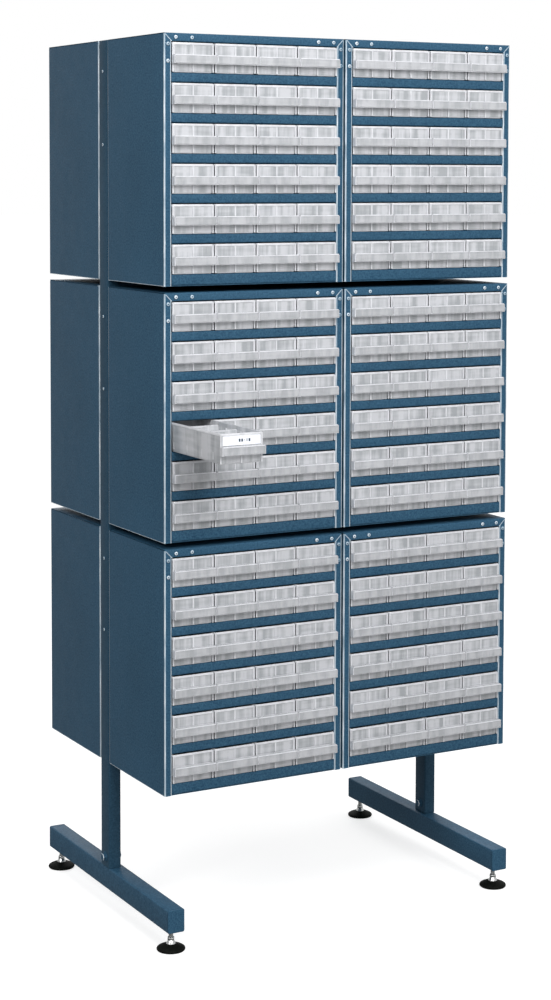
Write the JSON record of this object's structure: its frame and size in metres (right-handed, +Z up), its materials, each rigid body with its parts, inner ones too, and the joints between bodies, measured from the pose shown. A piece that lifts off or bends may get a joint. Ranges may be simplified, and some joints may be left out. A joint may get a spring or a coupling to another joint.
{
  "type": "small parts drawer cabinet stand",
  "caption": "Free-standing double-sided stand of sheet-steel cabinets with clear plastic small-parts drawers, on a tube frame with levelling feet.",
  "frame": {"origin": "middle of the base of the bounding box at floor level, with one drawer pulled out; the stand itself is centred on x = 0 and y = 0.0900 m", "axes": "+X to the right seen from the front, +Y to the rear, +Z up"},
  "size_m": [0.737, 0.7211, 1.606],
  "materials": {
    "blue_paint": "satin blue powder coat with a fine texture",
    "clear_plastic": "clear moulded plastic, slightly hazy",
    "black_rubber": "matt black moulded pad on a zinc plated spindle"
  },
  "bodies": {
    "stand": {"front_left_lower_casing": "blue_paint", "front_left_lower_drawers": "clear_plastic", "front_left_middle_casing": "blue_paint", "front_left_upper_casing": "blue_paint", "front_left_upper_drawers": "clear_plastic", "front_right_lower_casing": "blue_paint", "front_right_lower_drawers": "clear_plastic", "front_right_middle_casing": "blue_paint", "front_right_middle_drawers": "clear_plastic", "front_right_upper_casing": "blue_paint", "front_right_upper_drawers": "clear_plastic", "rear_left_lower_casing": "blue_paint", "rear_left_lower_drawers": "clear_plastic", "rear_left_middle_casing": "blue_paint", "rear_left_middle_drawers": "clear_plastic", "rear_left_upper_casing": "blue_paint", "rear_left_upper_drawers": "clear_plastic", "rear_right_lower_casing": "blue_paint", "rear_right_lower_drawers": "clear_plastic", "rear_right_middle_casing": "blue_paint", "rear_right_middle_drawers": "clear_plastic", "rear_right_upper_casing": "blue_paint", "rear_right_upper_drawers": "clear_plastic", "left_upright": "blue_paint", "right_upright": "blue_paint", "lower_cross_rail": "blue_paint", "middle_cross_rail": "blue_paint", "upper_cross_rail": "blue_paint", "left_foot_beam": "blue_paint", "right_foot_beam": "blue_paint"},
    "drawer_row1_col1": {"drawer_row1_col1": "clear_plastic"},
    "drawer_row1_col2": {"drawer_row1_col2": "clear_plastic"},
    "drawer_row1_col3": {"drawer_row1_col3": "clear_plastic"},
    "drawer_row1_col4": {"drawer_row1_col4": "clear_plastic"},
    "drawer_row2_col1": {"drawer_row2_col1": "clear_plastic"},
    "drawer_row2_col2": {"drawer_row2_col2": "clear_plastic"},
    "drawer_row2_col3": {"drawer_row2_col3": "clear_plastic"},
    "drawer_row2_col4": {"drawer_row2_col4": "clear_plastic"},
    "drawer_row3_col1": {"drawer_row3_col1": "clear_plastic"},
    "drawer_row3_col2": {"drawer_row3_col2": "clear_plastic"},
    "drawer_row3_col3": {"drawer_row3_col3": "clear_plastic"},
    "drawer_row3_col4": {"drawer_row3_col4": "clear_plastic"},
    "drawer_row4_col1": {"drawer_row4_col1": "clear_plastic", "front_divider": "clear_plastic", "rear_divider": "clear_plastic"},
    "drawer_row4_col2": {"drawer_row4_col2": "clear_plastic"},
    "drawer_row4_col3": {"drawer_row4_col3": "clear_plastic"},
    "drawer_row4_col4": {"drawer_row4_col4": "clear_plastic"},
    "drawer_row5_col1": {"drawer_row5_col1": "clear_plastic"},
    "drawer_row5_col2": {"drawer_row5_col2": "clear_plastic"},
    "drawer_row5_col3": {"drawer_row5_col3": "clear_plastic"},
    "drawer_row5_col4": {"drawer_row5_col4": "clear_plastic"},
    "drawer_row6_col1": {"drawer_row6_col1": "clear_plastic"},
    "drawer_row6_col2": {"drawer_row6_col2": "clear_plastic"},
    "drawer_row6_col3": {"drawer_row6_col3": "clear_plastic"},
    "drawer_row6_col4": {"drawer_row6_col4": "clear_plastic"},
    "front_left_levelling_foot": {"front_left_levelling_foot": "black_rubber"},
    "front_right_levelling_foot": {"front_right_levelling_foot": "black_rubber"},
    "rear_left_levelling_foot": {"rear_left_levelling_foot": "black_rubber"},
    "rear_right_levelling_foot": {"rear_right_levelling_foot": "black_rubber"}
  },
  "joints": [
    {"name": "drawer_row1_col1_slide", "type": "slide", "parent": "stand", "child": "drawer_row1_col1", "axis": [0, -1, 0], "range_m": [0, 0.2]},
    {"name": "drawer_row1_col2_slide", "type": "slide", "parent": "stand", "child": "drawer_row1_col2", "axis": [0, -1, 0], "range_m": [0, 0.2]},
    {"name": "drawer_row1_col3_slide", "type": "slide", "parent": "stand", "child": "drawer_row1_col3", "axis": [0, -1, 0], "range_m": [0, 0.2]},
    {"name": "drawer_row1_col4_slide", "type": "slide", "parent": "stand", "child": "drawer_row1_col4", "axis": [0, -1, 0], "range_m": [0, 0.2]},
    {"name": "drawer_row2_col1_slide", "type": "slide", "parent": "stand", "child": "drawer_row2_col1", "axis": [0, -1, 0], "range_m": [0, 0.2]},
    {"name": "drawer_row2_col2_slide", "type": "slide", "parent": "stand", "child": "drawer_row2_col2", "axis": [0, -1, 0], "range_m": [0, 0.2]},
    {"name": "drawer_row2_col3_slide", "type": "slide", "parent": "stand", "child": "drawer_row2_col3", "axis": [0, -1, 0], "range_m": [0, 0.2]},
    {"name": "drawer_row2_col4_slide", "type": "slide", "parent": "stand", "child": "drawer_row2_col4", "axis": [0, -1, 0], "range_m": [0, 0.2]},
    {"name": "drawer_row3_col1_slide", "type": "slide", "parent": "stand", "child": "drawer_row3_col1", "axis": [0, -1, 0], "range_m": [0, 0.2]},
    {"name": "drawer_row3_col2_slide", "type": "slide", "parent": "stand", "child": "drawer_row3_col2", "axis": [0, -1, 0], "range_m": [0, 0.2]},
    {"name": "drawer_row3_col3_slide", "type": "slide", "parent": "stand", "child": "drawer_row3_col3", "axis": [0, -1, 0], "range_m": [0, 0.2]},
    {"name": "drawer_row3_col4_slide", "type": "slide", "parent": "stand", "child": "drawer_row3_col4", "axis": [0, -1, 0], "range_m": [0, 0.2]},
    {"name": "drawer_row4_col1_slide", "type": "slide", "parent": "stand", "child": "drawer_row4_col1", "axis": [0, -1, 0], "range_m": [-0.18, 0.02]},
    {"name": "drawer_row4_col2_slide", "type": "slide", "parent": "stand", "child": "drawer_row4_col2", "axis": [0, -1, 0], "range_m": [0, 0.2]},
    {"name": "drawer_row4_col3_slide", "type": "slide", "parent": "stand", "child": "drawer_row4_col3", "axis": [0, -1, 0], "range_m": [0, 0.2]},
    {"name": "drawer_row4_col4_slide", "type": "slide", "parent": "stand", "child": "drawer_row4_col4", "axis": [0, -1, 0], "range_m": [0, 0.2]},
    {"name": "drawer_row5_col1_slide", "type": "slide", "parent": "stand", "child": "drawer_row5_col1", "axis": [0, -1, 0], "range_m": [0, 0.2]},
    {"name": "drawer_row5_col2_slide", "type": "slide", "parent": "stand", "child": "drawer_row5_col2", "axis": [0, -1, 0], "range_m": [0, 0.2]},
    {"name": "drawer_row5_col3_slide", "type": "slide", "parent": "stand", "child": "drawer_row5_col3", "axis": [0, -1, 0], "range_m": [0, 0.2]},
    {"name": "drawer_row5_col4_slide", "type": "slide", "parent": "stand", "child": "drawer_row5_col4", "axis": [0, -1, 0], "range_m": [0, 0.2]},
    {"name": "drawer_row6_col1_slide", "type": "slide", "parent": "stand", "child": "drawer_row6_col1", "axis": [0, -1, 0], "range_m": [0, 0.2]},
    {"name": "drawer_row6_col2_slide", "type": "slide", "parent": "stand", "child": "drawer_row6_col2", "axis": [0, -1, 0], "range_m": [0, 0.2]},
    {"name": "drawer_row6_col3_slide", "type": "slide", "parent": "stand", "child": "drawer_row6_col3", "axis": [0, -1, 0], "range_m": [0, 0.2]},
    {"name": "drawer_row6_col4_slide", "type": "slide", "parent": "stand", "child": "drawer_row6_col4", "axis": [0, -1, 0], "range_m": [0, 0.2]},
    {"name": "front_left_levelling_foot_screw", "type": "slide", "parent": "stand", "child": "front_left_levelling_foot", "axis": [0, 0, -1], "range_m": [-0.012, 0.012]},
    {"name": "front_right_levelling_foot_screw", "type": "slide", "parent": "stand", "child": "front_right_levelling_foot", "axis": [0, 0, -1], "range_m": [-0.012, 0.012]},
    {"name": "rear_left_levelling_foot_screw", "type": "slide", "parent": "stand", "child": "rear_left_levelling_foot", "axis": [0, 0, -1], "range_m": [-0.012, 0.012]},
    {"name": "rear_right_levelling_foot_screw", "type": "slide", "parent": "stand", "child": "rear_right_levelling_foot", "axis": [0, 0, -1], "range_m": [-0.012, 0.012]}
  ]
}
